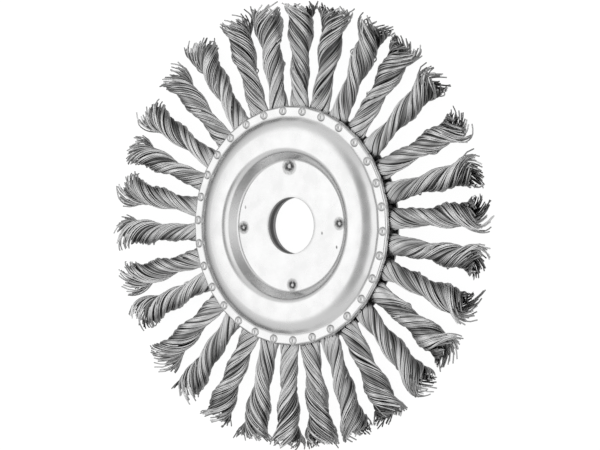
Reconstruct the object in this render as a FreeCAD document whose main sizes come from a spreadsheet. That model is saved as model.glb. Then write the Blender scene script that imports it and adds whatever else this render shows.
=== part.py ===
"""A knotted wire wheel brush: a drilled carrier disc between two pressed steel covers, with
thirty twisted knots of wire. Millimetres. The origin is the centre of the bore at half the
wheel's thickness, +Z is the wheel's axis towards its front face, and the wheel lies flat."""

import FreeCAD, Part
import math
import os
import Sketcher
from FreeCAD import Placement, Rotation, Vector

# Driving sizes in millimetres, angles in degrees
SIZES = {
    "wheel_diameter": 178.0,
    "face_width": 13.0,
    "bore_diameter": 22.2,
    "knot_count": 30,
    "first_knot_angle": 3.16,
    "sheet_thickness": 1.5,
    "disc_thickness": 2.0,
    "hole_circle_radius": 35.5,
    "hairpin_diameter": 4.3,
    "hole_clearance": 0.55,
    "seat_clearance": 0.15,
    "crown_clearance": 0.35,
    "crown_inner_width": 5.3,
    "crown_outer_width": 4.1,
    "wall_run": 4.2,
    "flank_run": 3.8,
    "rim_land": 3.4,
    "disc_setback": 1.6,
    "foot_bend": 1.5,
    "crown_inner_bend": 5.0,
    "crown_outer_bend": 6.0,
    "ridge_run_in": 1.2,
    "ridge_height": 0.5,
    "ridge_top_width": 6.4,
    "rim_clearance": 0.25,
    "dimple_inset": 1.7,
    "dimple_mouth": 2.9,
    "dimple_floor": 1.6,
    "dimple_depth": 0.8,
    "dimple_skirt": 0.4,
    "weld_circle_radius": 23.4,
    "weld_ring_outer": 3.6,
    "weld_ring_inner": 2.2,
    "weld_depth": 0.2,
    "weld_count": 4,
    "weld_angle": 1.3,
    "knot_gap": 0.7,
    "root_depth": 5.5,
    "root_setback": 0.8,
    "leg_crimp": 1.4,
    "neck_diameter": 6.6,
    "neck_share": 0.28,
    "twist_turns": 1.25,
    "strand_cleft": 0.14,
    "wire_groove": 0.14,
    "tip_fray": 1.2,
    "tip_dish": 1.8,
}

# Facets of one knot
BUNDLE_SIDES = 10
BUNDLE_STEPS = 12
LEG_SIDES = 6
# How late the bundle flares: 1 is an even cone
FLARE_POWER = 1.6

doc = FreeCAD.newDocument("wire_wheel")
sheet = doc.addObject("Spreadsheet::Sheet", "Sizes")
for row, (alias, value) in enumerate(SIZES.items(), start=1):
    sheet.set(f"A{row}", alias)
    sheet.set(f"B{row}", str(value))
    sheet.setAlias(f"B{row}", alias)
doc.recompute()

# Levels and radii that follow from the driving sizes, as formulas of the sheet
FLAT_LEVEL = "(Sizes.disc_thickness / 2 + Sizes.sheet_thickness)"
CROWN_LEVEL = (
    "(Sizes.disc_thickness / 2 + Sizes.seat_clearance + Sizes.hairpin_diameter"
    " + Sizes.crown_clearance + Sizes.sheet_thickness)"
)
RIDGE_LEVEL = "(Sizes.root_depth / 2 + Sizes.rim_clearance + Sizes.sheet_thickness)"
RIM_LEVEL = f"({RIDGE_LEVEL} - Sizes.ridge_height)"
WALL_HEAD = "(Sizes.hole_circle_radius - Sizes.crown_inner_width)"
WALL_FOOT = f"({WALL_HEAD} - Sizes.wall_run)"
FLANK_HEAD = "(Sizes.hole_circle_radius + Sizes.crown_outer_width)"
FLANK_FOOT = f"({FLANK_HEAD} + Sizes.flank_run)"
RIM_RADIUS = f"({FLANK_FOOT} + Sizes.rim_land)"
DISC_RADIUS = f"({FLANK_FOOT} - Sizes.disc_setback)"
DIMPLE_RADIUS = f"({RIM_RADIUS} - Sizes.dimple_inset)"
# How far a bend's corner moves sideways from the sheet's upper face to its under face
WALL_SHIFT = (
    f"(Sizes.sheet_thickness * tan(atan(({CROWN_LEVEL} - {FLAT_LEVEL}) / Sizes.wall_run) / 2))"
)
FLANK_SHIFT = (
    f"(Sizes.sheet_thickness * tan(atan(({CROWN_LEVEL} - {RIM_LEVEL}) / Sizes.flank_run) / 2))"
)
UNDER = "Sizes.sheet_thickness"


def value_of(formula):
    """The number that a formula of the sheet stands for."""
    return float(sheet.evalExpression(formula))


def origin_feature(body, role):
    """The origin plane or axis of a body, by its role."""
    return next(item for item in body.Origin.OriginFeatures if item.Role == role)


def new_sketch(body, name, role, offset="0"):
    """A sketch on one of the body's origin planes, lifted off it by a formula."""
    sketch = body.newObject("Sketcher::SketchObject", name)
    sketch.AttachmentSupport = [(origin_feature(body, role), "")]
    sketch.MapMode = "FlatFace"
    sketch.setExpression("AttachmentOffset.Base.z", offset)
    return sketch


def bind(sketch, constraint, formula):
    """Adds a constraint whose value follows a formula."""
    sketch.setExpression(f"Constraints[{sketch.addConstraint(constraint)}]", formula)


def draw_outline(sketch, corners):
    """A closed outline of straight lines, each corner placed by two formulas."""
    start = [Vector(value_of(across), value_of(up), 0) for across, up in corners]
    count = len(start)
    for index in range(count):
        sketch.addGeometry(Part.LineSegment(start[index], start[(index + 1) % count]), False)
    for index in range(count):
        sketch.addConstraint(Sketcher.Constraint("Coincident", index, 2, (index + 1) % count, 1))
    for index, (across, up) in enumerate(corners):
        bind(sketch, Sketcher.Constraint("DistanceX", index, 1, start[index].x), across)
        bind(sketch, Sketcher.Constraint("DistanceY", index, 1, start[index].y), up)


def draw_circle(sketch, across, up, diameter):
    """A circle placed and sized by formulas."""
    centre = Vector(value_of(across), value_of(up), 0)
    circle = sketch.addGeometry(Part.Circle(centre, Vector(0, 0, 1), value_of(diameter) / 2), False)
    bind(sketch, Sketcher.Constraint("Diameter", circle, value_of(diameter)), diameter)
    bind(sketch, Sketcher.Constraint("DistanceX", circle, 3, centre.x), across)
    bind(sketch, Sketcher.Constraint("DistanceY", circle, 3, centre.y), up)


def draw_bore_circle(sketch, diameter):
    """A circle centred on the wheel's axis."""
    circle = sketch.addGeometry(Part.Circle(Vector(), Vector(0, 0, 1), value_of(diameter) / 2), False)
    sketch.addConstraint(Sketcher.Constraint("Coincident", circle, 3, -1, 1))
    bind(sketch, Sketcher.Constraint("Diameter", circle, value_of(diameter)), diameter)


def repeat_round(body, name, features, count):
    """Repeats features of a body evenly round the wheel's axis."""
    pattern = body.newObject("PartDesign::PolarPattern", name)
    pattern.Originals = features
    pattern.Axis = (origin_feature(body, "Z_Axis"), [""])
    pattern.Angle = 360
    pattern.setExpression("Occurrences", count)
    body.Tip = pattern
    doc.recompute()
    return pattern


def make_carrier_disc():
    """The flat steel disc that carries the knots, with one hole for each knot's hairpin."""
    body = doc.addObject("PartDesign::Body", "hub_disc")
    body.Label = "hub_disc"
    blank = new_sketch(body, "DiscBlank", "XY_Plane")
    draw_bore_circle(blank, f"2 * {DISC_RADIUS}")
    draw_bore_circle(blank, "Sizes.bore_diameter")
    plate = body.newObject("PartDesign::Pad", "DiscPlate")
    plate.Profile = blank
    plate.Midplane = True
    plate.setExpression("Length", "Sizes.disc_thickness")
    doc.recompute()
    hole_sketch = new_sketch(body, "KnotHoleSketch", "XY_Plane")
    draw_circle(
        hole_sketch, "Sizes.hole_circle_radius", "0", "Sizes.hairpin_diameter + 2 * Sizes.hole_clearance"
    )
    hole = body.newObject("PartDesign::Pocket", "KnotHole")
    hole.Profile = hole_sketch
    hole.Midplane = True
    hole.setExpression("Length", "2 * Sizes.disc_thickness")
    doc.recompute()
    repeat_round(body, "KnotHoles", [hole], "Sizes.knot_count")
    body.setExpression("Placement.Rotation.Angle", "Sizes.first_knot_angle")
    return body


def circle_edges(feature, radius, level):
    """Names of a feature's full circles of this radius at this height."""
    names = []
    for number, edge in enumerate(feature.Shape.Edges, start=1):
        curve = edge.Curve
        if not isinstance(curve, Part.Circle):
            continue
        if abs(curve.Radius - radius) < 1e-3 and abs(curve.Center.z - level) < 1e-3:
            names.append(f"Edge{number}")
    return names


def round_corner(body, name, feature, radius, level, bend):
    """Rounds one corner of the pressed profile, found by its radius and level."""
    fillet = body.newObject("PartDesign::Fillet", name)
    fillet.Base = (feature, circle_edges(feature, value_of(radius), value_of(level)))
    fillet.setExpression("Radius", bend)
    doc.recompute()
    return fillet


def press_bowl(body):
    """The cover's turned form: flat centre, inner wall, crown, flank and rim land."""
    profile = new_sketch(body, "CoverProfile", "XZ_Plane")
    draw_outline(profile, [
        ("Sizes.bore_diameter / 2", FLAT_LEVEL),
        (WALL_FOOT, FLAT_LEVEL),
        (WALL_HEAD, CROWN_LEVEL),
        (FLANK_HEAD, CROWN_LEVEL),
        (FLANK_FOOT, RIM_LEVEL),
        (RIM_RADIUS, RIM_LEVEL),
        (RIM_RADIUS, f"{RIM_LEVEL} - {UNDER}"),
        (f"{FLANK_FOOT} - {FLANK_SHIFT}", f"{RIM_LEVEL} - {UNDER}"),
        (f"{FLANK_HEAD} - {FLANK_SHIFT}", f"{CROWN_LEVEL} - {UNDER}"),
        (f"{WALL_HEAD} + {WALL_SHIFT}", f"{CROWN_LEVEL} - {UNDER}"),
        (f"{WALL_FOOT} + {WALL_SHIFT}", f"{FLAT_LEVEL} - {UNDER}"),
        ("Sizes.bore_diameter / 2", f"{FLAT_LEVEL} - {UNDER}"),
    ])
    bowl = body.newObject("PartDesign::Revolution", "CoverBowl")
    bowl.Profile = profile
    bowl.ReferenceAxis = (profile, ["V_Axis"])
    bowl.Angle = 360
    doc.recompute()
    corners = [
        ("FootBend", WALL_FOOT, FLAT_LEVEL, WALL_SHIFT, "Sizes.foot_bend", 1),
        ("CrownInnerBend", WALL_HEAD, CROWN_LEVEL, WALL_SHIFT, "Sizes.crown_inner_bend", -1),
        ("CrownOuterBend", FLANK_HEAD, CROWN_LEVEL, f"-{FLANK_SHIFT}", "Sizes.crown_outer_bend", -1),
    ]
    feature = bowl
    for name, radius, level, shift, bend, side in corners:
        under_bend = f"{bend} + {side} * {UNDER}"
        feature = round_corner(body, name, feature, radius, level, bend)
        feature = round_corner(
            body, name + "Under", feature, f"{radius} + {shift}", f"{level} - {UNDER}", under_bend
        )
    return feature


def press_ridges(body):
    """Waves of the rim land: a flat ridge over each knot, and its under face follows."""
    half_pitch = f"({RIM_RADIUS} * tan(180 deg / Sizes.knot_count))"
    inner_end = f"({FLANK_FOOT} - Sizes.ridge_run_in)"
    features = []
    for kind, name, drop, sunk in (
        ("PartDesign::Pad", "Ridge", "0", 0), ("PartDesign::Pocket", "RidgeUnder", UNDER, 1)
    ):
        sketch = new_sketch(body, name + "Sketch", "YZ_Plane", inner_end)
        base = f"{RIM_LEVEL} - {drop}"
        top = f"{RIDGE_LEVEL} - {drop}"
        draw_outline(sketch, [
            (f"-{half_pitch}", base), (half_pitch, base),
            ("Sizes.ridge_top_width / 2", top), ("-Sizes.ridge_top_width / 2", top),
        ])
        ridge = body.newObject(kind, name)
        ridge.Profile = sketch
        ridge.Reversed = bool(sunk)
        ridge.setExpression("Length", f"{RIM_RADIUS} - {inner_end} + {sunk} * {UNDER}")
        doc.recompute()
        features.append(ridge)
    repeat_round(body, "RimWaves", features, "Sizes.knot_count")


def trim_rim(body):
    """Turns the rim true, so that the waved land ends on the rim's radius."""
    sketch = new_sketch(body, "RimTrimSketch", "XZ_Plane")
    low = f"{RIM_LEVEL} - 2 * {UNDER}"
    high = f"{RIDGE_LEVEL} + {UNDER}"
    beyond = f"{RIM_RADIUS} + Sizes.rim_land"
    draw_outline(sketch, [(RIM_RADIUS, low), (beyond, low), (beyond, high), (RIM_RADIUS, high)])
    trim = body.newObject("PartDesign::Groove", "RimTrim")
    trim.Profile = sketch
    trim.ReferenceAxis = (sketch, ["V_Axis"])
    trim.Angle = 360
    doc.recompute()


def add_cone(body, kind, name, low, height, low_radius, high_radius):
    """A cone on the dimple circle, half a pitch from a knot, that adds or takes away metal."""
    cone = body.newObject(kind, name)
    cone.AttachmentSupport = [(origin_feature(body, "XY_Plane"), "")]
    cone.MapMode = "FlatFace"
    half_pitch = "180 deg / Sizes.knot_count"
    cone.setExpression("AttachmentOffset.Base.x", f"{DIMPLE_RADIUS} * cos({half_pitch})")
    cone.setExpression("AttachmentOffset.Base.y", f"{DIMPLE_RADIUS} * sin({half_pitch})")
    cone.setExpression("AttachmentOffset.Base.z", low)
    cone.setExpression("Height", height)
    cone.setExpression("Radius1", low_radius)
    cone.setExpression("Radius2", high_radius)
    doc.recompute()
    return cone


def punch_dimples(body):
    """The round punch marks that crimp the rim between the knots, each with its boss beneath."""
    floor = f"{RIM_LEVEL} - Sizes.dimple_depth"
    boss = add_cone(
        body, "PartDesign::AdditiveCone", "DimpleBoss", f"{floor} - {UNDER}",
        f"Sizes.dimple_depth + {UNDER} / 2", "Sizes.dimple_floor / 2 + Sizes.dimple_skirt",
        "Sizes.dimple_mouth / 2 + Sizes.dimple_skirt",
    )
    pit = add_cone(
        body, "PartDesign::SubtractiveCone", "DimplePit", floor,
        "Sizes.dimple_depth + Sizes.ridge_height / 2", "Sizes.dimple_floor / 2",
        "Sizes.dimple_mouth / 2",
    )
    repeat_round(body, "Dimples", [boss, pit], "Sizes.knot_count")


def mark_welds(body, side):
    """The ring that each spot weld leaves on the flat centre."""
    sketch = new_sketch(body, "WeldSketch", "XY_Plane", FLAT_LEVEL)
    across = "Sizes.weld_circle_radius * cos(Sizes.weld_angle)"
    up = f"{-side} * Sizes.weld_circle_radius * sin(Sizes.weld_angle)"
    draw_circle(sketch, across, up, "Sizes.weld_ring_outer")
    draw_circle(sketch, across, up, "Sizes.weld_ring_inner")
    ring = body.newObject("PartDesign::Pocket", "WeldRing")
    ring.Profile = sketch
    ring.setExpression("Length", "Sizes.weld_depth")
    doc.recompute()
    repeat_round(body, "WeldRings", [ring], "Sizes.weld_count")


def make_cover(label, side):
    """One pressed cover: side is 1 for the front, -1 for the rear, which is turned over."""
    body = doc.addObject("PartDesign::Body", label)
    body.Label = label
    press_bowl(body)
    press_ridges(body)
    trim_rim(body)
    punch_dimples(body)
    mark_welds(body, side)
    turned_over = Rotation(Vector(1, 0, 0), 0 if side > 0 else 180)
    about_axis = Rotation(Vector(0, 0, 1), value_of("Sizes.first_knot_angle"))
    body.Placement = Placement(Vector(), about_axis * turned_over)
    return body


def bundle_section(share):
    """Half width across the wheel's plane, half depth and grooves, from rim (0) to tip (1)."""
    neck = value_of("Sizes.neck_diameter / 2")
    neck_share = value_of("Sizes.neck_share")
    cleft = value_of("Sizes.strand_cleft") * min(1.0, share / neck_share)
    groove = value_of("Sizes.wire_groove") * (1 + share) / 2
    if share < neck_share:
        spread = (1 - share / neck_share) ** 2
        wide = value_of(f"{RIM_RADIUS} * tan(180 deg / Sizes.knot_count) - Sizes.knot_gap / 2")
        deep = value_of("Sizes.root_depth / 2")
        return neck + (wide - neck) * spread, neck + (deep - neck) * spread, cleft, groove
    flare = ((share - neck_share) / (1 - neck_share)) ** FLARE_POWER
    radius = neck + (value_of("Sizes.face_width / 2") - neck) * flare
    return radius, radius, cleft, groove


def bundle_ring(reach, section, turn):
    """Corners of the twisted bundle at one reach: five ridges, with a cleft on two sides."""
    wide, deep, cleft, groove = section
    ring = []
    for index in range(BUNDLE_SIDES):
        angle = 2 * math.pi * index / BUNDLE_SIDES
        swell = 1 - cleft * ((1 + math.cos(2 * angle)) / 2) ** 2 - groove * (index % 2)
        around = angle + turn
        ring.append(Vector(reach, wide * swell * math.cos(around), deep * swell * math.sin(around)))
    return ring


def bundle_rings(hand):
    """Rings of the bundle from its root under the rim to the tip, cut true to the wheel's edge."""
    tip = value_of("Sizes.wheel_diameter / 2")
    rim = value_of(RIM_RADIUS)
    root_wide = value_of(f"{DIMPLE_RADIUS} * sin(180 deg / Sizes.knot_count) - Sizes.dimple_floor / 2")
    root_deep = value_of("Sizes.root_depth / 2 - Sizes.seat_clearance")
    groove = value_of("Sizes.wire_groove / 2")
    rings = [bundle_ring(rim - value_of("Sizes.root_setback"), (root_wide, root_deep, 0, groove), 0)]
    start = rim + value_of("Sizes.root_setback") / 2
    for step in range(BUNDLE_STEPS + 1):
        share = step / BUNDLE_STEPS
        turn = hand * share * 2 * math.pi * value_of("Sizes.twist_turns")
        rings.append(bundle_ring(start + (tip - start) * share, bundle_section(share), turn))
    fray = value_of("Sizes.tip_fray")
    for index, corner in enumerate(rings[-1]):
        corner.x = math.sqrt(tip ** 2 - corner.y ** 2) - fray * (index % 2)
    return rings


def leg_ring(centre, half_width, half_thickness, lean):
    """Corners of a hairpin leg's section, flat above and below, leaning by an angle."""
    up = Vector(-math.sin(lean), 0, math.cos(lean))
    ring = []
    for index in range(LEG_SIDES):
        angle = 2 * math.pi * index / LEG_SIDES
        height = half_thickness * math.sin(angle) / math.sin(math.pi / 3)
        ring.append(centre + Vector(0, half_width * math.cos(angle), 0) + up * height)
    return ring


def hairpin_rings():
    """Rings of the hairpin: out of the root, along the disc, through its hole and back."""
    half = value_of("Sizes.hairpin_diameter / 2")
    seat = value_of("Sizes.disc_thickness / 2 + Sizes.seat_clearance")
    hole_radius = half + value_of("Sizes.hole_clearance")
    hole = value_of("Sizes.hole_circle_radius")
    edge = hole + hole_radius
    root_x = value_of(f"{RIM_RADIUS} - Sizes.root_setback")
    root_wide = value_of(f"{DIMPLE_RADIUS} * sin(180 deg / Sizes.knot_count) - Sizes.dimple_floor / 2")
    root_deep = value_of("Sizes.root_depth / 2 - Sizes.seat_clearance")
    crimp = value_of("Sizes.leg_crimp")
    land_wide = value_of(f"{DISC_RADIUS} * tan(180 deg / Sizes.knot_count) - Sizes.knot_gap / 2")
    corner = hole_radius * math.sqrt(0.5)
    front = [
        (root_x, 0.45 * root_deep, 0.6 * root_wide, 0.3 * root_deep, 0),
        (value_of(DISC_RADIUS), seat + crimp / 2, land_wide, crimp / 2, 0),
        (edge + value_of("Sizes.hole_clearance"), seat + half, half, half, 0),
        (edge - corner, value_of("Sizes.disc_thickness / 2") + corner, half, half, math.pi / 4),
    ]
    rear = [(x, -z, wide, thick, math.pi - lean) for x, z, wide, thick, lean in reversed(front)]
    stations = front + [(hole, 0, half, half, math.pi / 2)] + rear
    return [leg_ring(Vector(x, 0, z), wide, thick, lean) for x, z, wide, thick, lean in stations]


def skin_faces(rings, hand):
    """Triangles between successive rings, split along the way the bundle turns."""
    faces = []
    for near, far in zip(rings, rings[1:]):
        count = len(near)
        for index in range(count):
            after = (index + 1) % count
            a, b, c, d = near[index], near[after], far[after], far[index]
            corners = [(a, b, d), (b, c, d)] if hand > 0 else [(a, b, c), (a, c, d)]
            faces.extend(Part.Face(Part.makePolygon([*three, three[0]])) for three in corners)
    return faces


def closed_wire(ring):
    """A closed outline through a ring's corners."""
    return Part.makePolygon([*ring, ring[0]])


def knot_shape(hand):
    """One knot, pointing along +X: a hairpin of wire whose two legs are twisted together."""
    bundle = bundle_rings(hand)
    hairpin = hairpin_rings()
    faces = skin_faces(bundle, hand) + skin_faces(hairpin, 1)
    outlines = [closed_wire(ring) for ring in (bundle[0], hairpin[0], hairpin[-1])]
    faces.append(Part.makeFace(outlines, "Part::FaceMakerBullseye"))
    middle = Vector(value_of("Sizes.wheel_diameter / 2 - Sizes.tip_dish"), 0, 0)
    tip = bundle[-1]
    for index in range(BUNDLE_SIDES):
        after = (index + 1) % BUNDLE_SIDES
        faces.append(Part.Face(Part.makePolygon([tip[index], tip[after], middle, tip[index]])))
    skin = Part.makeShell(faces)
    skin.sewShape()
    solid = Part.Solid(skin)
    if solid.Volume < 0:
        solid.reverse()
    return solid


def make_knots():
    """The ring of knots. Each is twisted the other way from its neighbours."""
    shapes = {hand: knot_shape(hand) for hand in (1, -1)}
    count = int(value_of("Sizes.knot_count"))
    knots = []
    for index in range(count):
        knot = doc.addObject("Part::Feature", f"knot_{index + 1:02d}")
        knot.Label = knot.Name
        knot.Shape = shapes[-1 if index % 2 else 1]
        angle = value_of("Sizes.first_knot_angle") + 360 * index / count
        knot.Placement = Placement(Vector(), Rotation(Vector(0, 0, 1), angle))
        knots.append(knot)
    return knots


def check_and_export(parts):
    """Stops on any failed object, then writes each sub-part to its own file."""
    doc.recompute()
    for item in doc.Objects:
        if "Invalid" in item.State or "Error" in item.State:
            raise RuntimeError(f"{item.Name} failed: {item.State}")
    for part in parts:
        if part.Shape.isNull() or not part.Shape.isValid():
            raise RuntimeError(f"{part.Label} has no valid shape")
        if len(part.Shape.Solids) != 1:
            raise RuntimeError(f"{part.Label} has {len(part.Shape.Solids)} solids")
    os.makedirs("parts", exist_ok=True)
    for part in parts:
        part.Shape.exportStep(f"parts/{part.Label}.step")
        box = part.Shape.BoundBox
        print(f"{part.Label}: {part.Shape.Volume:.1f} mm3, {len(part.Shape.Faces)} faces, "
              f"z {box.ZMin:.2f} to {box.ZMax:.2f}")


sub_parts = [make_carrier_disc(), make_cover("front_cover", 1), make_cover("rear_cover", -1)]
check_and_export(sub_parts + make_knots())
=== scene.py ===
"""Dresses the knotted wire wheel: pressed bright steel covers and twisted knots of steel wire.

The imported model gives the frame. Each knot's plain solid is replaced by its bundle of wires, and
each cover by the smooth pressing with its many-sided rim, punch dimples and weld marks."""

import logging
import math
import random
from dataclasses import dataclass, field
from enum import Enum

import bmesh
import bpy
from mathutils import Matrix, Vector

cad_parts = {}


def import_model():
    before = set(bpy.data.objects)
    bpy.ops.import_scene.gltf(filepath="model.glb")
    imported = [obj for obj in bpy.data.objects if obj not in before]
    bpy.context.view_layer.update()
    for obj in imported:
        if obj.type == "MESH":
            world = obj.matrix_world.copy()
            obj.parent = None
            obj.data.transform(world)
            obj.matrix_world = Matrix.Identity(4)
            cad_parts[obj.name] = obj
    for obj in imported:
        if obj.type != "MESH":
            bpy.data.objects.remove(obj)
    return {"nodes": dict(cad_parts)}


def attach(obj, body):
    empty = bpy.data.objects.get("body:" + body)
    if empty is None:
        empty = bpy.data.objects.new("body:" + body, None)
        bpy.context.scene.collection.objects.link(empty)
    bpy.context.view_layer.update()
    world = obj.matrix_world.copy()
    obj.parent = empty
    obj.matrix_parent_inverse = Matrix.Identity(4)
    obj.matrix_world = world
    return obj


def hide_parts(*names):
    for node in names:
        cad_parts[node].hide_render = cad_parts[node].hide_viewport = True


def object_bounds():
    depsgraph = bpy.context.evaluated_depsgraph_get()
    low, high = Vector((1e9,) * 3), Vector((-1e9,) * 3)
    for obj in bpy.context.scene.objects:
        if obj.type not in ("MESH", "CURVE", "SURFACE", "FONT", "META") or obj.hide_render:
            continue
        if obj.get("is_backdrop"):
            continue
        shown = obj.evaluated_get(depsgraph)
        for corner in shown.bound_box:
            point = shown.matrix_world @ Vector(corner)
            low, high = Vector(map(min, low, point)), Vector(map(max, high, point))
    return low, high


MM = 0.001
KNOT_COUNT = 30
# Degrees from +X to the middle of the first knot
FIRST_ANGLE = 3.16
# Sockets of the mix node by number, because several of them have the same name
MIX_SHARE, NUMBER_A, NUMBER_B, COLOUR_A, COLOUR_B = 0, 2, 3, 6, 7
MIXED_NUMBER, MIXED_COLOUR = 0, 2
# Where nearly all values of a noise pattern lie
NOISE_LOW, NOISE_HIGH = 0.3, 0.7
# The order of a cover's materials in its mesh
SHEET_FINISH, EDGE_FINISH = 0, 1
LOG = logging.getLogger("wire_wheel")


class Hand(Enum):
    """The way a knot is twisted."""

    LEFT = -1
    RIGHT = 1


class Side(Enum):
    """The face of the wheel that a cover closes."""

    FRONT = 1
    REAR = -1


def linear(hex_colour: str) -> tuple[float, float, float, float]:
    """Turns an sRGB hex colour into the linear colour that a shader takes.

    Args:
        hex_colour: Six hex digits after a hash, such as "#c0c0c0".

    Returns:
        Linear red, green and blue, with alpha 1.
    """
    channels = [int(hex_colour[i:i + 2], 16) / 255 for i in (1, 3, 5)]
    return (*[c / 12.92 if c <= 0.04045 else ((c + 0.055) / 1.055) ** 2.4 for c in channels], 1.0)


def per_size(size: float) -> float:
    """Scale of a pattern whose features are size millimetres across."""
    return 1 / (size * MM)


def add_node(
    tree: bpy.types.NodeTree, kind: str, links: dict | None = None, **settings,
) -> bpy.types.Node:
    """Adds a shader node, sets it up and links its inputs.

    Args:
        tree: The node tree that gets the node.
        kind: The node's type, such as "ShaderNodeBump".
        links: Input name or number to the output socket or plain value that feeds it.
        settings: Properties of the node itself.

    Returns:
        The new node.
    """
    node = tree.nodes.new(kind)
    for name, value in settings.items():
        setattr(node, name, value)
    for name, value in (links or {}).items():
        if isinstance(value, bpy.types.NodeSocket):
            tree.links.new(value, node.inputs[name])
        else:
            node.inputs[name].default_value = value
    return node


def new_material(name: str) -> tuple[bpy.types.Material, bpy.types.NodeTree]:
    """An empty node material, with its tree."""
    material = bpy.data.materials.new(name)
    material.use_nodes = True
    material.node_tree.nodes.clear()
    return material, material.node_tree


def smooth_step(value: float, low: float, high: float) -> float:
    """Rises smoothly from 0 at low to 1 at high."""
    share = min(1.0, max(0.0, (value - low) / (high - low)))
    return share * share * (3 - 2 * share)


def aimed(slant: float, turn: float) -> Matrix:
    """Tips straight up by slant degrees, toward turn degrees round the wheel's axis from +X."""
    return Matrix.Rotation(math.radians(turn), 4, "Z") @ Matrix.Rotation(math.radians(slant), 4, "Y")


@dataclass(frozen=True)
class BrightPressedSteel:
    """Zinc-bright cold rolled steel sheet, pressed: satin, so that it mirrors the lamps softly."""

    colour: str = "#efefef"
    # The dark of weld burns and scuffs, also used for the painted shade round the dimples' mouths
    marks_and_shade_colour: str = "#464646"
    roughness: float = 0.25
    # How far the rolling cloudiness takes the roughness down and up
    rough_change: tuple[float, float] = (-0.04, 0.06)
    blotch_strength: tuple[float, float] = (0.6, 1.3)
    # Sizes in millimetres: spots of the scorch, clouds of the sheet, orange peel of the plating
    blotch_size: float = 0.7
    cloud_size: float = 6.0
    peel_size: float = 0.5
    peel_depth: float = 0.01

    def build(self) -> bpy.types.Material:
        """Makes the material. The stored darkening attribute darkens weld rings and scuffs, and paints
        shade in a thin ring round each dimple's mouth.
        """
        material, tree = new_material("bright_pressed_steel")
        place = add_node(tree, "ShaderNodeTexCoord").outputs["Object"]
        marks_and_shade = add_node(tree, "ShaderNodeAttribute", attribute_name="weld_scuff_and_painted_shade").outputs["Fac"]
        blotches = add_node(tree, "ShaderNodeTexNoise", {
            "Vector": place, "Scale": per_size(self.blotch_size), "Detail": 2.0,
        })
        blotched = add_node(tree, "ShaderNodeMapRange", {
            "Value": blotches.outputs["Fac"], "From Min": NOISE_LOW, "From Max": NOISE_HIGH,
            "To Min": self.blotch_strength[0], "To Max": self.blotch_strength[1],
        })
        marks_and_shade_share = add_node(tree, "ShaderNodeMath", {
            0: marks_and_shade, 1: blotched.outputs["Result"],
        }, operation="MULTIPLY", use_clamp=True)
        colour = add_node(tree, "ShaderNodeMix", {
            MIX_SHARE: marks_and_shade_share.outputs["Value"],
            COLOUR_A: linear(self.colour), COLOUR_B: linear(self.marks_and_shade_colour),
        }, data_type="RGBA")
        clouds = add_node(tree, "ShaderNodeTexNoise", {
            "Vector": place, "Scale": per_size(self.cloud_size), "Detail": 3.0,
        })
        rough = add_node(tree, "ShaderNodeMapRange", {
            "Value": clouds.outputs["Fac"], "From Min": NOISE_LOW, "From Max": NOISE_HIGH,
            "To Min": self.roughness + self.rough_change[0],
            "To Max": self.roughness + self.rough_change[1],
        })
        grain = add_node(tree, "ShaderNodeTexNoise", {
            "Vector": place, "Scale": per_size(self.peel_size), "Detail": 2.0,
        })
        bump = add_node(tree, "ShaderNodeBump", {
            "Height": grain.outputs["Fac"], "Distance": self.peel_depth * MM, "Strength": 0.4,
        })
        steel = add_node(tree, "ShaderNodeBsdfPrincipled", {
            "Base Color": colour.outputs[MIXED_COLOUR], "Metallic": 1.0,
            "Roughness": rough.outputs["Result"], "Normal": bump.outputs["Normal"],
        })
        add_node(tree, "ShaderNodeOutputMaterial", {"Surface": steel.outputs["BSDF"]})
        return material


@dataclass(frozen=True)
class ShearedSteelEdge:
    """The torn wall that a punch leaves in the bore: rougher and duller than the sheet's face."""

    colour: str = "#dcdcdc"
    roughness: float = 0.45
    # Sizes in millimetres, and how much longer the tears are through the sheet than round it
    tear_size: float = 0.6
    tear_depth: float = 0.08
    tear_squeeze: float = 0.2

    def build(self) -> bpy.types.Material:
        """Makes the material, with tear lines across the sheet's thickness."""
        material, tree = new_material("sheared_steel_edge")
        place = add_node(tree, "ShaderNodeTexCoord").outputs["Object"]
        stretched = add_node(tree, "ShaderNodeMapping", {
            "Vector": place, "Scale": (1, 1, self.tear_squeeze),
        })
        tears = add_node(tree, "ShaderNodeTexNoise", {
            "Vector": stretched.outputs["Vector"], "Scale": per_size(self.tear_size), "Detail": 3.0,
        })
        bump = add_node(tree, "ShaderNodeBump", {
            "Height": tears.outputs["Fac"], "Distance": self.tear_depth * MM, "Strength": 0.6,
        })
        steel = add_node(tree, "ShaderNodeBsdfPrincipled", {
            "Base Color": linear(self.colour), "Metallic": 1.0, "Roughness": self.roughness,
            "Normal": bump.outputs["Normal"],
        })
        add_node(tree, "ShaderNodeOutputMaterial", {"Surface": steel.outputs["BSDF"]})
        return material


@dataclass(frozen=True)
class DrawnSteelWire:
    """Hard drawn high-carbon steel wire, bare: grey, with shade painted dark deep in the bundle and in its
    creases.
    """

    bright: str = "#fcfcfc"
    deep: str = "#141414"
    roughness: float = 0.30

    def build(self) -> bpy.types.Material:
        """Makes the material: the wire_tone attribute sets how bright each wire is."""
        material, tree = new_material("drawn_steel_wire")
        tone = add_node(tree, "ShaderNodeAttribute", attribute_name="wire_tone").outputs["Fac"]
        colour = add_node(tree, "ShaderNodeMix", {
            MIX_SHARE: tone, COLOUR_A: linear(self.deep), COLOUR_B: linear(self.bright),
        }, data_type="RGBA")
        steel = add_node(tree, "ShaderNodeBsdfPrincipled", {
            "Base Color": colour.outputs[MIXED_COLOUR], "Metallic": 1.0, "Roughness": self.roughness,
        })
        add_node(tree, "ShaderNodeOutputMaterial", {"Surface": steel.outputs["BSDF"]})
        return material


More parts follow.
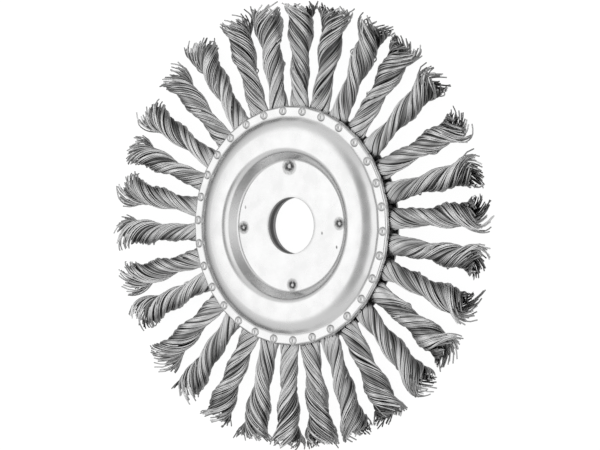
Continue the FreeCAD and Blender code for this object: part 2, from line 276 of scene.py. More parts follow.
@dataclass(frozen=True)
class RolledDiscSteel:
    """Bare rolled steel plate of the carrier disc: duller than the covers."""

    colour: str = "#8a8a8a"
    roughness: float = 0.45
    # Size and depth of the mill grain in millimetres
    grain_size: float = 0.8
    grain_depth: float = 0.02

    def build(self) -> bpy.types.Material:
        """Makes the material, with the mill grain of the plate."""
        material, tree = new_material("rolled_disc_steel")
        place = add_node(tree, "ShaderNodeTexCoord").outputs["Object"]
        grain = add_node(tree, "ShaderNodeTexNoise", {
            "Vector": place, "Scale": per_size(self.grain_size), "Detail": 4.0,
        })
        bump = add_node(tree, "ShaderNodeBump", {
            "Height": grain.outputs["Fac"], "Distance": self.grain_depth * MM, "Strength": 0.5,
        })
        steel = add_node(tree, "ShaderNodeBsdfPrincipled", {
            "Base Color": linear(self.colour), "Metallic": 1.0, "Roughness": self.roughness,
            "Normal": bump.outputs["Normal"],
        })
        add_node(tree, "ShaderNodeOutputMaterial", {"Surface": steel.outputs["BSDF"]})
        return material


@dataclass
class PressedCover:
    """One pressed cover, in millimetres: flat centre, inner wall, crown, flank and many-sided rim."""

    side: Side
    bore_radius: float = 11.1
    rim_radius: float = 47.1
    flat_level: float = 2.5
    crown_level: float = 7.3
    rim_level: float = 4.5
    wall_foot: float = 26.0
    wall_head: float = 29.4
    crown_break: float = 34.2
    crown_fall: float = 0.4
    flank_head: float = 39.4
    flank_foot: float = 43.1
    rim_lean: float = 0.25
    sheet: float = 1.5
    # How far down the flank the rim's flat sides begin, and how far up it a dimple may reach
    sides_run_in: float = 1.0
    dimple_run_in: float = 0.6
    dimple_radius: float = 45.2
    dimple_mouth: float = 1.65
    dimple_depth: float = 0.74
    weld_radius: float = 23.4
    weld_angle: float = 1.86
    top_weld_spread: float = 1.3
    # The groove round a weld: the runs over which it deepens and ends
    groove_inner: tuple[float, float] = (0.6, 1.0)
    groove_outer: tuple[float, float] = (1.4, 1.9)
    groove_depth: float = 0.18
    # A weld's burn: a black ring in a fainter halo
    scorch_inner: tuple[float, float] = (0.45, 0.8)
    scorch_outer: tuple[float, float] = (1.3, 1.8)
    halo_fade: tuple[float, float] = (2.2, 3.0)
    halo_tone: float = 0.45
    scuffs: tuple[tuple[float, float], ...] = ((-22.4, 7.3), (22.1, -8.4), (15.1, -3.0))
    scuff_half_width: float = 0.32
    scuff_half_length: float = 0.65
    scuff_fade: tuple[float, float] = (0.5, 1.5)
    scuff_tone: float = 0.8
    # The thin ring of painted shade at a dimple's mouth, whose place is a share of the mouth
    shade_ring_place: float = 0.92
    shade_ring_fade: tuple[float, float] = (0.05, 0.40)
    shade_ring_tone: float = 0.42
    # How far off its level or the bore a face or point still counts as on it
    refine_slack: float = 0.2
    press_slack: float = 0.1
    mark_slack: float = 0.3
    bore_slack: float = 0.02
    # Mesh: steps of the full turn, corners that begin the long runs with their cuts, and the rest
    turn_steps: int = 300
    long_runs: tuple[tuple[int, int], ...] = ((0, 10), (5, 8))
    merge_distance: float = 0.001
    flat_weight: int = 80

    def corners(self) -> list[tuple[float, float, float, int]]:
        """The section's corners: radius, level, length cut off by the bend, and its segments."""
        wall_shift = self.sheet * math.tan(math.atan2(
            self.crown_level - self.flat_level, self.wall_head - self.wall_foot) / 2)
        shoulder = self.crown_level - self.crown_fall
        flank_shift = self.sheet * math.tan(math.atan2(
            shoulder - self.rim_level, self.flank_foot - self.flank_head) / 2)
        under = self.sheet
        return [
            (self.bore_radius, self.flat_level, 0.15, 2),
            (self.wall_foot, self.flat_level, 0.7, 5),
            (self.wall_head, self.crown_level, 1.8, 9),
            (self.crown_break, self.crown_level, 1.6, 4),
            (self.flank_head, shoulder, 2.7, 10),
            (self.flank_foot, self.rim_level, 0.7, 5),
            (self.rim_radius, self.rim_level, 0.8, 6),
            (self.rim_radius + self.rim_lean, self.rim_level - under, 0.12, 1),
            (self.flank_foot - flank_shift, self.rim_level - under, 0.8, 2),
            (self.flank_head - flank_shift, shoulder - under, 1.8, 3),
            (self.wall_head + wall_shift, self.crown_level - under, 1.5, 3),
            (self.wall_foot + wall_shift, self.flat_level - under, 0.9, 2),
            (self.bore_radius, self.flat_level - under, 0.12, 1),
        ]

    def section(self, form: bmesh.types.BMesh) -> None:
        """Draws the closed section on the XZ plane, rounds its bends and cuts its long runs finer."""
        corners = self.corners()
        places = [Vector((radius, 0, level)) for radius, level, _, _ in corners]
        points = [form.verts.new(place) for place in places]
        for near, far in zip(points, points[1:] + points[:1]):
            form.edges.new((near, far))
        for place, (_, _, cut, segments) in zip(places, corners):
            point = min(form.verts, key=lambda vert: (vert.co - place).length)
            bmesh.ops.bevel(
                form, geom=[point], offset=cut, offset_type="OFFSET", segments=segments,
                profile=0.5, affect="VERTICES", material=-1,
            )
        for first, cuts in self.long_runs:
            middle = (places[first] + places[first + 1]) / 2
            run = min(form.edges, key=lambda edge: (sum((v.co for v in edge.verts), -2 * middle)).length)
            bmesh.ops.subdivide_edges(form, edges=[run], cuts=cuts)

    def in_order(self, form: bmesh.types.BMesh) -> bmesh.types.BMesh:
        """Draws the mesh anew in the order of its places, because a turn gives another each run.

        Args:
            form: The turned form, which is freed.

        Returns:
            The same form, with its points and faces in one order.
        """
        places = sorted(tuple(point.co) for point in form.verts)
        number = {place: index for index, place in enumerate(places)}
        loops = []
        for face in form.faces:
            loop = [number[tuple(point.co)] for point in face.verts]
            first = loop.index(min(loop))
            loops.append(loop[first:] + loop[:first])
        form.free()
        ordered = bmesh.new()
        points = [ordered.verts.new(place) for place in places]
        for loop in sorted(loops):
            ordered.faces.new([points[index] for index in loop])
        return ordered

    def off_line(self, place: Vector) -> float:
        """Angle in radians from a place to the nearest radial line through a dimple."""
        pitch = 2 * math.pi / KNOT_COUNT
        angle = math.atan2(place.y, place.x) - math.radians(FIRST_ANGLE) - pitch / 2
        return (angle + pitch / 2) % pitch - pitch / 2

    def off_dimple(self, place: Vector) -> float:
        """Distance to the nearest dimple's centre."""
        radius = math.hypot(place.x, place.y)
        return math.hypot(radius - self.dimple_radius, radius * self.off_line(place))

    def bowl(self, distance: float) -> float:
        """Depth of a dimple at a distance from its centre: part of a ball."""
        ball = (self.dimple_mouth ** 2 + self.dimple_depth ** 2) / (2 * self.dimple_depth)
        if distance > self.dimple_mouth:
            return 0.0
        return math.sqrt(ball ** 2 - distance ** 2) - (ball - self.dimple_depth)

    def off_weld(self, place: Vector) -> float:
        """Distance to the nearest weld mark's centre, on the scale of a mark of the usual size."""
        quarter = math.pi / 2
        angle = math.atan2(place.y, place.x) - math.radians(self.weld_angle)
        away = (angle + quarter / 2) % quarter - quarter / 2
        radius = math.hypot(place.x, place.y)
        spread = self.top_weld_spread if abs(angle - quarter) < quarter / 2 else 1.0
        return math.hypot(radius * away, radius - self.weld_radius) / spread

    def off_scuff(self, place: Vector) -> float:
        """Distance to the nearest scuff's centre, 1 at its edge."""
        return min(
            math.hypot((place.x - x) / self.scuff_half_width, (place.y - y) / self.scuff_half_length)
            for x, y in self.scuffs
        )

    def refine(self, form: bmesh.types.BMesh) -> None:
        """Gives the dimples, weld marks and scuffs a finer mesh."""
        for reach, cuts, offset, level in (
            (2.2, 3, self.off_dimple, self.rim_level),
            (3.4, 3, self.off_weld, self.flat_level),
            (4.0, 4, self.off_scuff, self.flat_level),
        ):
            # Keys of a dict and no set, so that their order and the mesh are the same each run
            edges = {}
            for face in form.faces:
                middle = face.calc_center_median()
                if abs(middle.z - level) < self.refine_slack and offset(middle) < reach:
                    edges.update(dict.fromkeys(face.edges))
            bmesh.ops.subdivide_edges(form, edges=list(edges), cuts=cuts, use_grid_fill=True)

    def press(self, form: bmesh.types.BMesh) -> None:
        """Moves the turned form's points to the many-sided rim, its dimples and the weld rings."""
        half_pitch = math.pi / KNOT_COUNT
        for point in form.verts:
            radius = math.hypot(point.co.x, point.co.y)
            if radius > self.flank_head:
                away = abs(self.off_line(point.co))
                on_rim = radius > self.flank_foot - self.dimple_run_in
                sunk = self.bowl(self.off_dimple(point.co)) if on_rim else 0.0
                held = smooth_step(radius, self.flank_head + self.sides_run_in, self.flank_foot)
                stretch = 1 + (math.cos(half_pitch) / math.cos(half_pitch - away) - 1) * held
                point.co.x *= stretch
                point.co.y *= stretch
                point.co.z -= sunk
            elif point.co.z > self.flat_level - self.press_slack and radius < self.wall_foot:
                distance = self.off_weld(point.co)
                ring = smooth_step(distance, *self.groove_inner)
                point.co.z -= self.groove_depth * (ring * (1 - smooth_step(distance, *self.groove_outer)))

    def mark(self, form: bmesh.types.BMesh) -> None:
        """Stores how dark the welds and scuffs are and the painted shade at the dimples' rims, and picks
        out the bore's wall.
        """
        marks_and_shade = form.verts.layers.float.new("weld_scuff_and_painted_shade")
        for point in form.verts:
            radius = math.hypot(point.co.x, point.co.y)
            if abs(point.co.z - self.flat_level) < self.mark_slack and radius < self.wall_foot:
                distance = self.off_weld(point.co)
                halo = self.halo_tone * (1 - smooth_step(distance, *self.halo_fade))
                ring = smooth_step(distance, *self.scorch_inner)
                ring *= 1 - smooth_step(distance, *self.scorch_outer)
                scuff = self.scuff_tone * (1 - smooth_step(self.off_scuff(point.co), *self.scuff_fade))
                point[marks_and_shade] = max(halo, ring, scuff)
            elif radius > self.flank_foot and point.co.z > self.rim_level - self.sheet:
                # Painted shade: a thin dark ring at each dimple's mouth
                off_mouth = abs(self.off_dimple(point.co) - self.shade_ring_place * self.dimple_mouth)
                point[marks_and_shade] = self.shade_ring_tone * (1 - smooth_step(off_mouth, *self.shade_ring_fade))
        form.normal_update()
        for face in form.faces:
            face.smooth = True
            middle = face.calc_center_median()
            in_bore = math.hypot(middle.x, middle.y) < self.bore_radius + self.bore_slack
            face.material_index = EDGE_FINISH if in_bore else SHEET_FINISH

    def build(self, finish: bpy.types.Material, edge_finish: bpy.types.Material) -> bpy.types.Object:
        """Makes the cover's mesh.

        Args:
            finish: The sheet's material.
            edge_finish: The material of the bore's sheared wall.

        Returns:
            The cover's object, at the origin with its place in its mesh.
        """
        form = bmesh.new()
        self.section(form)
        bmesh.ops.spin(
            form, geom=form.verts[:] + form.edges[:], cent=(0, 0, 0), axis=(0, 0, 1), dvec=(0, 0, 0),
            angle=2 * math.pi, steps=self.turn_steps, use_merge=True, use_duplicate=False,
        )
        bmesh.ops.remove_doubles(form, verts=form.verts, dist=self.merge_distance)
        form = self.in_order(form)
        self.refine(form)
        self.press(form)
        self.mark(form)
        if self.side is Side.REAR:
            turned_over = Matrix.Rotation(math.pi, 3, "X")
            about_axis = Matrix.Rotation(math.radians(2 * FIRST_ANGLE), 3, "Z")
            bmesh.ops.rotate(form, verts=form.verts, matrix=about_axis @ turned_over)
        bmesh.ops.scale(form, verts=form.verts, vec=(MM, MM, MM))
        bmesh.ops.recalc_face_normals(form, faces=form.faces)
        mesh = bpy.data.meshes.new("cover")
        form.to_mesh(mesh)
        form.free()
        mesh.materials.append(finish)
        mesh.materials.append(edge_finish)
        piece = bpy.data.objects.new(f"pressed_cover_{self.side.name.lower()}", mesh)
        bpy.context.scene.collection.objects.link(piece)
        flat_shading = piece.modifiers.new("flat_shading", "WEIGHTED_NORMAL")
        flat_shading.weight = self.flat_weight
        return piece


@dataclass
class KnotShape:
    """The form of one knot, in millimetres and degrees, from its root under the rim to its tip.

    A share is a place along the knot, 0 at the rim and 1 at the tip."""

    number: int
    hand: Hand
    angle: float
    lean: float
    neck_radius: float
    tip_radius: float
    slow_twist: float
    start_turn: float
    fast_twist: float = 60.0
    exit_x: float = 47.0
    tip_x: float = 86.8
    root_half_width: float = 4.5
    root_half_depth: float = 2.7
    # Under the rim the bundle narrows to this over a short share
    hidden_half_width: float = 3.8
    hidden_run: float = 0.05
    neck_share: float = 0.26
    neck_power: float = 1.6
    flare_power: float = 1.5
    lean_power: float = 1.3
    # The two legs of the hairpin stand out from the round, fully from this share on
    leg_swell: float = 0.16
    swell_share: float = 0.3
    # Wires past the brush's face are pressed back by this part of what they stand out
    face_half_width: float = 6.0
    face_press: float = 0.6

    def envelope(self, share: float) -> tuple[float, float]:
        """Half width and half depth of the bundle.

        Args:
            share: Place along the knot. It may be a little outside 0 and 1.

        Returns:
            Half width in the wheel's plane and half depth along the axis, in millimetres.
        """
        if share < 0:
            inside = smooth_step(-share, 0.0, self.hidden_run)
            return (
                self.root_half_width + (self.hidden_half_width - self.root_half_width) * inside,
                self.root_half_depth,
            )
        if share < self.neck_share:
            spread = ((self.neck_share - share) / self.neck_share) ** self.neck_power
            return (
                self.neck_radius + (self.root_half_width - self.neck_radius) * spread,
                self.neck_radius + (self.root_half_depth - self.neck_radius) * spread,
            )
        flare = ((share - self.neck_share) / (1 - self.neck_share)) ** self.flare_power
        radius = self.neck_radius + (self.tip_radius - self.neck_radius) * flare
        return radius, radius

    def turn(self, share: float) -> float:
        """How far the bundle has turned at a place, in radians."""
        held = max(share, 0.0)
        degrees = self.start_turn + self.slow_twist * held + self.fast_twist * held * held
        return self.hand.value * math.radians(degrees)

    def point(self, share: float, reach: float, angle: float, out: float = 0.0) -> Vector:
        """A point of the bundle, before the knot is turned to its place round the wheel.

        Args:
            share: Place along the knot.
            reach: Distance from the knot's own axis, 1 at the envelope.
            angle: Angle round the knot's axis before the twist, in radians.
            out: Extra distance out from the axis, in millimetres.

        Returns:
            The point in millimetres, X out from the wheel's axis.
        """
        width, depth = self.envelope(share)
        swell = 1 + self.leg_swell * smooth_step(share, 0.0, self.swell_share) * math.cos(2 * angle)
        around = angle + self.turn(share)
        aside = self.lean * max(share, 0.0) ** self.lean_power
        height = (depth * reach * swell + out) * math.sin(around)
        over = max(0.0, abs(height) - self.face_half_width)
        return Vector((
            self.exit_x + (self.tip_x - self.exit_x) * share,
            aside + (width * reach * swell + out) * math.cos(around),
            height - math.copysign(self.face_press * over, height),
        ))


@dataclass
class DrawnWire:
    """One wire's centreline in millimetres, its tone from root to end, and its thickness."""

    path: list[Vector]
    tones: list[float]
    thickness: list[float] | None = None


@dataclass(frozen=True)
class InnerLayer:
    """A layer of wires under the skin: how many, how uneven, how far out, from where, and how dark its
    painted shade is.
    """

    count: int
    unevenness: float
    reach: tuple[float, float]
    begin: float
    steps: int
    tone: float


@dataclass
class WireKnot:
    """One knot of wires, drawn as curves and made a mesh. Lengths are in millimetres."""

    shape: KnotShape
    # A little over the real 0.25, because fewer wires are drawn than a knot has
    wire_radius: float = 0.27
    bevel_resolution: int = 1
    # Where along the knot the wires begin, hidden under the rim
    begin: float = -0.06
    # The skin is made of strands: how many, their wires, unevenness and half width in pitches
    strand_count: int = 8
    strand_wires: tuple[int, ...] = (4, 4, 4, 5)
    strand_unevenness: float = 0.12
    strand_half_width: float = 0.43
    # A strand's middle stands out by crest_rise, of which root_crest is there at the root
    crest_rise: float = 0.60
    crest_level: float = -0.42
    root_crest: float = 0.4
    crest_run: float = 0.2
    skin_steps: int = 28
    skin_loosens: tuple[float, float] = (0.80, 1.06)
    # Tones from 0, deep and dark, to 1. Painted shade makes strands darkest in the creases between the legs
    # and darker at their own edges; near the root the tones give way to root_tone
    strand_tone: tuple[float, float] = (1.02, 1.18)
    crease_painted_shade: float = 0.50
    wire_tone_change: tuple[float, float] = (-0.48, 0.14)
    strand_edge_painted_shade: float = 0.40
    darkest_tone: float = 0.10
    root_tone: float = 0.9
    root_tone_fade: tuple[float, float] = (0.06, 0.25)
    loose_tone: tuple[float, float] = (0.5, 1.0)
    inner_loosens: tuple[float, float] = (0.78, 1.05)
    # The inner layers are painted dark for the shade inside the bundle
    layers: tuple[InnerLayer, ...] = (
        InnerLayer(count=32, unevenness=0.35, reach=(0.76, 0.86), begin=-0.04, steps=20, tone=0.14),
        InnerLayer(count=20, unevenness=0.5, reach=(0.35, 0.70), begin=0.74, steps=9, tone=0.20),
    )
    # How many loops and how many loose ends a knot may have
    stray_counts: tuple[int, ...] = (2, 3, 4)
    loop_steps: int = 16
    loop_power: float = 1.5
    loose_steps: int = 14
    loose_power: float = 1.6
    # The core of a leg: its length along the knot, distance from the axis, and thickness as a
    # share of the envelope's half width and half depth
    core_steps: int = 18
    core_length: float = 0.92
    core_reach: float = 0.38
    core_fill: float = 0.5
    core_mix: tuple[float, float] = (0.35, 0.65)

    def wires(self, chance: random.Random) -> list[DrawnWire]:
        """All wires of the knot, from the skin inwards.

        Args:
            chance: The knot's own seeded source of small differences.

        Returns:
            The wires.
        """
        found = []
        pitch = 2 * math.pi / self.strand_count
        for strand in range(self.strand_count):
            middle = pitch * (strand + chance.uniform(-self.strand_unevenness, self.strand_unevenness))
            count = chance.choice(self.strand_wires)
            crease = 0.5 - 0.5 * math.cos(2 * middle)
            # Painted shade: strands darker in the creases between the two legs
            shade = chance.uniform(*self.strand_tone) - self.crease_painted_shade * crease ** 3
            for index in range(count):
                across = 2 * (index + 0.5) / count - 1
                place = middle + across * pitch * self.strand_half_width
                found.append(self.skin_wire(chance, place, across, shade))
        for layer in self.layers:
            for index in range(layer.count):
                aside = chance.uniform(-layer.unevenness, layer.unevenness)
                place = 2 * math.pi * (index + aside) / layer.count
                found.append(self.inner_wire(chance, layer, place, chance.uniform(*layer.reach)))
        found.extend(self.stray_loop(chance) for _ in range(chance.choice(self.stray_counts)))
        found.extend(self.loose_end(chance) for _ in range(chance.choice(self.stray_counts)))
        # Dark cores that paint the shade inside the two legs
        found.extend(self.leg_core(place) for place in (0.0, math.pi))
        return found

    def skin_wire(self, chance: random.Random, place: float, across: float, shade: float) -> DrawnWire:
        """A wire of the bundle's skin, from under the rim to its cut end.

        Args:
            chance: The knot's source of small differences.
            place: Angle round the knot's axis before the twist, in radians.
            across: Place across its strand, -1 and 1 at the strand's edges.
            shade: The strand's tone.

        Returns:
            The wire.
        """
        end = 1.0 + chance.gauss(-0.015, 0.028)
        drift, wave = chance.gauss(0, 0.05), chance.uniform(0.8, 1.8)
        phase = chance.uniform(0, 2 * math.pi)
        crest = self.crest_rise * (1 - across * across) + self.crest_level
        lift = chance.gauss(0, 0.06)
        flick, flick_side = chance.gauss(0.3, 0.8), chance.gauss(0, 0.30)
        path = []
        for step in range(self.skin_steps + 1):
            share = self.begin + (end - self.begin) * step / self.skin_steps
            held = smooth_step(share, 0.0, self.crest_run)
            loose = smooth_step(share, *self.skin_loosens)
            angle = place + drift * math.sin(2 * math.pi * wave * share + phase) * held + flick_side * loose
            standing = (crest + lift) * (self.root_crest + (1 - self.root_crest) * held)
            path.append(self.shape.point(share, 1.0, angle, standing + flick * loose - self.wire_radius))
        # Painted shade: wires darker at their strand's edges, in the grooves between strands
        tone = shade + chance.uniform(*self.wire_tone_change) - self.strand_edge_painted_shade * abs(across) ** 3
        tone = min(1.0, max(self.darkest_tone, tone))
        tones = [
            tone + (self.root_tone - tone) * (1 - smooth_step(step / self.skin_steps, *self.root_tone_fade))
            for step in range(self.skin_steps + 1)
        ]
        return DrawnWire(path, tones)

    def inner_wire(
        self, chance: random.Random, layer: InnerLayer, place: float, reach: float,
    ) -> DrawnWire:
        """A wire under the skin, drawn only where gaps or the flare let it be seen, with painted shade that
        makes it darker and lifts towards its end.
        """
        end = 0.95 + 0.05 * reach + chance.gauss(-0.03, 0.03)
        spread = chance.uniform(-0.05, 0.28)
        side = chance.gauss(0, 0.15)
        # Painted shade deep in the bundle, lighter towards the end the farther out the wire lies
        own_tone, end_tone = layer.tone * chance.uniform(0.6, 1.5), chance.uniform(0.45, 1.0) * reach
        path, tones = [], []
        for step in range(layer.steps + 1):
            share = layer.begin + (end - layer.begin) * step / layer.steps
            loose = smooth_step(share, *self.inner_loosens)
            path.append(self.shape.point(share, reach + spread * loose, place + side * loose))
            tones.append(own_tone + (end_tone - own_tone) * loose)
        return DrawnWire(path, tones)

    def stray_loop(self, chance: random.Random) -> DrawnWire:
        """A wire that stands off the knot's side in a small bow."""
        place = chance.uniform(0, 2 * math.pi)
        begin, length = chance.uniform(0.2, 0.75), chance.uniform(0.07, 0.15)
        height = chance.uniform(0.4, 1.1)
        path = []
        for step in range(self.loop_steps + 1):
            part = step / self.loop_steps
            out = height * math.sin(math.pi * part) ** self.loop_power - self.wire_radius
            path.append(self.shape.point(begin + length * part, 1.0, place, out))
        return DrawnWire(path, [chance.uniform(*self.loose_tone)] * len(path))

    def loose_end(self, chance: random.Random) -> DrawnWire:
        """A wire that leaves the bundle near its tip and stands out on its own."""
        place, aside = chance.uniform(0, 2 * math.pi), chance.gauss(0, 0.5)
        begin, end = chance.uniform(0.72, 0.88), chance.uniform(0.98, 1.04)
        height = chance.uniform(0.6, 1.7)
        path = []
        for step in range(self.loose_steps + 1):
            part = step / self.loose_steps
            share, angle = begin + (end - begin) * part, place + aside * part ** 2
            path.append(self.shape.point(share, 1.0, angle, height * part ** self.loose_power))
        return DrawnWire(path, [chance.uniform(*self.loose_tone)] * len(path))

    def leg_core(self, place: float) -> DrawnWire:
        """The core of one leg of the hairpin, round which its wires lie: a dark filling that paints the
        shade inside the bundle.
        """
        path, thickness = [], []
        for step in range(self.core_steps + 1):
            share = self.begin + self.core_length * step / self.core_steps
            width, depth = self.shape.envelope(share)
            size = self.core_mix[0] * width + self.core_mix[1] * depth
            path.append(self.shape.point(share, self.core_reach, place))
            thickness.append(self.core_fill * size / self.wire_radius)
        # Tone 0: the darkest, as painted shade
        return DrawnWire(path, [0.0] * len(path), thickness)

    def build(self, finish: bpy.types.Material) -> bpy.types.Object:
        """Makes the knot's mesh and puts it in its place on the wheel.

        Args:
            finish: The wire's material.

        Returns:
            The knot's object, at the origin with its place in its mesh.
        """
        wires = self.wires(random.Random(1000 + self.shape.number))
        curve = bpy.data.curves.new("wires", "CURVE")
        curve.dimensions = "3D"
        curve.bevel_depth = self.wire_radius * MM
        curve.bevel_resolution = self.bevel_resolution
        curve.use_fill_caps = True
        for wire in wires:
            spline = curve.splines.new("POLY")
            spline.points.add(len(wire.path) - 1)
            places = [value for point in wire.path for value in (*(point * MM), 1.0)]
            spline.points.foreach_set("co", places)
            if wire.thickness:
                spline.points.foreach_set("radius", wire.thickness)
        drawn = bpy.data.objects.new("wires", curve)
        bpy.context.scene.collection.objects.link(drawn)
        evaluated = drawn.evaluated_get(bpy.context.evaluated_depsgraph_get())
        mesh = bpy.data.meshes.new_from_object(evaluated)
        bpy.data.objects.remove(drawn)
        bpy.data.curves.remove(curve)
        self.paint_tones(mesh, wires)
        mesh.transform(Matrix.Rotation(math.radians(self.shape.angle), 4, "Z"))
        mesh.materials.clear()
        mesh.materials.append(finish)
        mesh.shade_smooth()
        piece = bpy.data.objects.new(f"wire_knot_{self.shape.number:02d}", mesh)
        bpy.context.scene.collection.objects.link(piece)
        return piece

    def paint_tones(self, mesh: bpy.types.Mesh, wires: list[DrawnWire]) -> None:
        """Stores each wire's tone on its own points: all cut ends, last wire first, then the wires."""
        ring = 2 * (self.bevel_resolution + 2)
        tones = [tone for wire in reversed(wires) for tone in (wire.tones[-1], wire.tones[0])]
        tones += [tone for wire in wires for tone in wire.tones]
        tones = [tone for tone in tones for _ in range(ring)]
        if len(tones) != len(mesh.vertices):
            raise ValueError(f"{len(tones)} tones for {len(mesh.vertices)} points")
        layer = mesh.attributes.new("wire_tone", "FLOAT", "POINT")
        layer.data.foreach_set("value", tones)


@dataclass
class KnotRing:
    """The ring of thirty knots round the hub."""

    # Knots whose tips stand to one side in the wheel's plane, in millimetres, by number
    leans: dict[int, float] = field(default_factory=lambda: {
        2: -2.2, 3: -1.5, 4: 1.2, 5: 2.3, 7: 2.3, 8: 1.2, 10: -2.4, 13: 1.0, 15: -2.0, 16: -2.1,
        17: -1.0, 18: -2.8, 22: 2.4, 23: 1.1, 25: -0.8, 26: -1.7, 28: -1.4,
    })

    def shapes(self) -> list[KnotShape]:
        """The knots' forms, each a little different, twisted by turns to the left and right."""
        made = []
        for index in range(KNOT_COUNT):
            chance = random.Random(500 + index)
            made.append(KnotShape(
                number=index + 1,
                hand=Hand.LEFT if index % 2 else Hand.RIGHT,
                angle=FIRST_ANGLE + 360 * index / KNOT_COUNT,
                lean=self.leans.get(index + 1, 0.0),
                neck_radius=chance.uniform(3.05, 3.45),
                tip_radius=chance.uniform(5.3, 6.1),
                slow_twist=chance.uniform(370, 430),
                start_turn=chance.uniform(0, 360),
            ))
        return made

    def build(self, finish: bpy.types.Material) -> None:
        """Makes every knot and hides the plain solid that it stands for."""
        for shape in self.shapes():
            piece = WireKnot(shape).build(finish)
            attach(piece, "root")
            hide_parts(f"knot_{shape.number:02d}")
            LOG.info("%s: %d faces", piece.name, len(piece.data.polygons))


@dataclass
class Hub:
    """The two covers."""

    def build(self) -> None:
        """Puts the smooth covers in place of the plain ones."""
        finish, edge_finish = BrightPressedSteel().build(), ShearedSteelEdge().build()
        for side in Side:
            piece = PressedCover(side).build(finish, edge_finish)
            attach(piece, "root")
            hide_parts(f"{side.name.lower()}_cover")
            LOG.info("%s: %d faces", piece.name, len(piece.data.polygons))


@dataclass(frozen=True)
class Lobe:
    """A soft patch of light in the world, longer along Y than across.

    Its middle lies slant degrees from straight above and turn degrees round the axis from +X. The
    edges are the degrees from its middle where it ends and where it is full. A level below 0
    takes light away."""

    slant: float
    turn: float
    edges: tuple[float, float]
    level: float


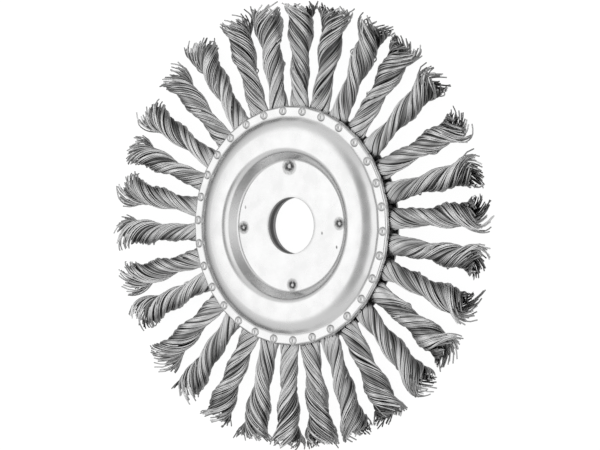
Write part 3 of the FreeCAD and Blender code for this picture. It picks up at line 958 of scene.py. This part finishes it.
@dataclass
class Studio:
    """White floor, a soft lamp and the camera above and to the right of the wheel's axis.

    Angles are in degrees, lengths in metres, and the aim and the focal length in millimetres."""

    floor_level: float
    camera_distance: float = 1.0
    camera_slant: float = 36.1
    focal_length: float = 152.1
    sensor_width: float = 36.0
    clip: tuple[float, float] = (0.05, 20.0)
    aim_right: float = 2.15
    aim_up: float = 0.23
    floor_half_width: float = 3.0
    floor_paint: str = "#6e6e6e"
    floor_white: float = 0.95
    # How bright the floor is in the steel, against how it looks to the camera
    floor_mirrored: float = 0.24
    box_slant: float = 31.0
    box_turn: float = 175.0
    box_distance: float = 1.3
    box_size: tuple[float, float] = (0.7, 1.3)
    box_level: float = 0.20
    # The sky brightens from sky[0] at the horizon to sky[1], between these heights of the unit ball
    horizon: tuple[float, float] = (0.05, 0.50)
    sky: tuple[float, float] = (0.10, 0.68)
    squeeze: float = 0.62
    # Mirrored by the flat faces, beyond the camera, and a dimmer patch straight above
    lobes: tuple[Lobe, ...] = (
        Lobe(30, 175, (23, 10), 0.31), Lobe(46, 0, (36, 18), 0.36), Lobe(2, 180, (26, 8), -0.36),
    )

    def camera(self) -> None:
        """Sets the camera: the wheel's +Y stays up in the picture."""
        slant = math.radians(self.camera_slant)
        back = Vector((math.sin(slant), 0, math.cos(slant)))
        up = Vector((0, 1, 0))
        right = up.cross(back)
        data = bpy.data.cameras.new("camera")
        data.lens = self.focal_length
        data.sensor_width = self.sensor_width
        data.clip_start, data.clip_end = self.clip
        camera = bpy.data.objects.new("camera", data)
        bpy.context.scene.collection.objects.link(camera)
        spot = back * self.camera_distance + right * self.aim_right * MM + up * self.aim_up * MM
        turn = Matrix((right, up, back)).transposed().to_4x4()
        camera.matrix_world = Matrix.Translation(spot) @ turn
        bpy.context.scene.camera = camera

    def floor(self) -> None:
        """A wide white floor that keeps the wheel's faint shadow."""
        mesh = bpy.data.meshes.new("floor")
        form = bmesh.new()
        bmesh.ops.create_grid(form, x_segments=1, y_segments=1, size=self.floor_half_width)
        bmesh.ops.translate(form, verts=form.verts, vec=(0, 0, self.floor_level))
        form.to_mesh(mesh)
        form.free()
        floor = bpy.data.objects.new("floor", mesh)
        bpy.context.scene.collection.objects.link(floor)
        material, tree = new_material("white_floor")
        paint = add_node(tree, "ShaderNodeBsdfDiffuse", {"Color": linear(self.floor_paint)})
        path = add_node(tree, "ShaderNodeLightPath")
        mirrored = add_node(tree, "ShaderNodeMath", {
            0: path.outputs["Is Glossy Ray"], 1: self.floor_mirrored,
        }, operation="MULTIPLY")
        straight = add_node(tree, "ShaderNodeMath", {
            0: path.outputs["Is Camera Ray"], 1: mirrored.outputs["Value"],
        }, operation="MAXIMUM")
        seen = add_node(tree, "ShaderNodeMath", {
            0: straight.outputs["Value"], 1: path.outputs["Is Transmission Ray"],
        }, operation="MAXIMUM")
        level = add_node(tree, "ShaderNodeMath", {
            0: seen.outputs["Value"], 1: self.floor_white,
        }, operation="MULTIPLY")
        glow = add_node(tree, "ShaderNodeEmission", {
            "Color": (1, 1, 1, 1), "Strength": level.outputs["Value"],
        })
        both = add_node(tree, "ShaderNodeAddShader", {
            0: paint.outputs["BSDF"], 1: glow.outputs["Emission"],
        })
        add_node(tree, "ShaderNodeOutputMaterial", {"Surface": both.outputs["Shader"]})
        mesh.materials.append(material)
        floor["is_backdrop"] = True

    def softbox(self) -> None:
        """The rectangular lamp, which points at the wheel. Its level is 1 where its face is white."""
        width, length = self.box_size
        data = bpy.data.lights.new("softbox_main", "AREA")
        data.shape = "RECTANGLE"
        data.size, data.size_y = width, length
        data.energy = self.box_level * math.pi * width * length
        lamp = bpy.data.objects.new("softbox_main", data)
        bpy.context.scene.collection.objects.link(lamp)
        lamp.visible_camera = False
        away = Matrix.Translation((0, 0, self.box_distance))
        lamp.matrix_world = aimed(self.box_slant, self.box_turn) @ away

    def patch(self, tree: bpy.types.NodeTree, lobe: Lobe) -> bpy.types.NodeSocket:
        """Draws one lobe in the world.

        Args:
            tree: The world's node tree.
            lobe: The patch of light.

        Returns:
            The patch's brightness in the direction looked at.
        """
        squeezed = add_node(tree, "ShaderNodeVectorMath", {
            0: add_node(tree, "ShaderNodeTexCoord").outputs["Generated"], 1: (1, self.squeeze, 1),
        }, operation="MULTIPLY")
        direction = add_node(tree, "ShaderNodeVectorMath", {
            0: squeezed.outputs["Vector"],
        }, operation="NORMALIZE")
        toward = add_node(tree, "ShaderNodeVectorMath", {
            0: direction.outputs["Vector"],
            1: aimed(lobe.slant, lobe.turn).to_3x3() @ Vector((0, 0, 1)),
        }, operation="DOT_PRODUCT")
        ends, full = (math.cos(math.radians(edge)) for edge in lobe.edges)
        return add_node(tree, "ShaderNodeMapRange", {
            "Value": toward.outputs["Value"], "From Min": ends, "From Max": full, "To Max": lobe.level,
        }, interpolation_type="SMOOTHSTEP").outputs["Result"]

    def light(self) -> None:
        """The lamp, and a world of soft patches over a dim horizon, white to the camera."""
        self.softbox()
        world = bpy.data.worlds.new("studio")
        world.use_nodes = True
        tree = world.node_tree
        tree.nodes.clear()
        direction = add_node(tree, "ShaderNodeSeparateXYZ", {
            0: add_node(tree, "ShaderNodeTexCoord").outputs["Generated"],
        })
        total = add_node(tree, "ShaderNodeMapRange", {
            "Value": direction.outputs["Z"], "From Min": self.horizon[0], "From Max": self.horizon[1],
            "To Min": self.sky[0], "To Max": self.sky[1],
        }, interpolation_type="SMOOTHSTEP").outputs["Result"]
        for lobe in self.lobes:
            total = add_node(tree, "ShaderNodeMath", {
                0: self.patch(tree, lobe), 1: total,
            }, operation="ADD").outputs["Value"]
        path = add_node(tree, "ShaderNodeLightPath")
        strength = add_node(tree, "ShaderNodeMix", {
            MIX_SHARE: path.outputs["Is Camera Ray"], NUMBER_A: total, NUMBER_B: 1.0,
        })
        sky = add_node(tree, "ShaderNodeBackground", {
            "Color": (1, 1, 1, 1), "Strength": strength.outputs[MIXED_NUMBER],
        })
        add_node(tree, "ShaderNodeOutputWorld", {"Surface": sky.outputs["Background"]})
        bpy.context.scene.world = world

    def build(self) -> None:
        """Sets up the whole studio."""
        self.camera()
        self.floor()
        self.light()
        bpy.context.scene.view_settings.view_transform = "Standard"


def main() -> None:
    """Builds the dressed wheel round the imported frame."""
    logging.basicConfig(level=logging.INFO, format="%(message)s")
    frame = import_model()
    cad_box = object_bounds()
    disc = frame["nodes"]["hub_disc"]
    disc.data.materials.clear()
    disc.data.materials.append(RolledDiscSteel().build())
    Hub().build()
    KnotRing().build(DrawnSteelWire().build())
    Studio(floor_level=cad_box[0].z).build()


if __name__ == "__main__":
    main()
